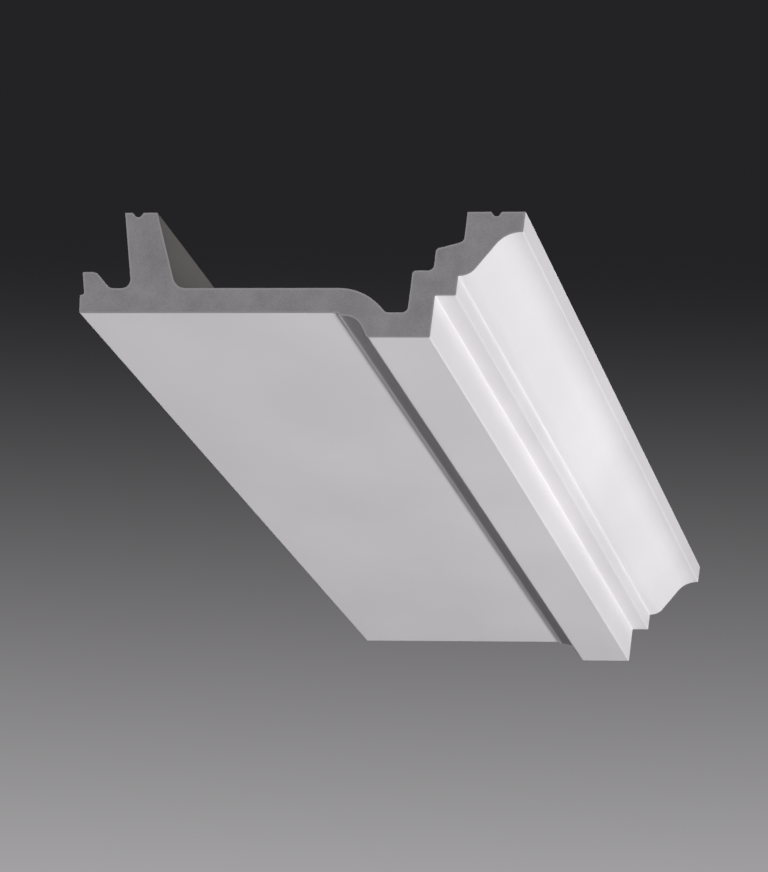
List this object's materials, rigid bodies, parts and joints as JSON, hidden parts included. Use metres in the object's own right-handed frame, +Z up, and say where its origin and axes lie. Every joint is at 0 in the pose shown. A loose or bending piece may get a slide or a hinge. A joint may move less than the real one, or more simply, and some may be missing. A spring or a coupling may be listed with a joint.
{
  "type": "cornice moulding length",
  "caption": "Wide, shallow ceiling cornice length of hard moulded foam with a flat soffit, a nose, a step and a cyma, hollow behind, cut square at both ends.",
  "frame": {"origin": "on the face that meets the ceiling, at mid length, in the middle of the outer rib's flat beside its outer arris", "axes": "+Z up to the ceiling, +Y along the length, -X towards the wall"},
  "size_m": [0.21, 1, 0.06],
  "materials": {
    "primed_polyurethane": "white factory primer on moulded polyurethane, satin-matte; the two sawn ends show bare grey-white foam"
  },
  "bodies": {
    "root": {"cornice_moulding": "primed_polyurethane"}
  },
  "joints": []
}
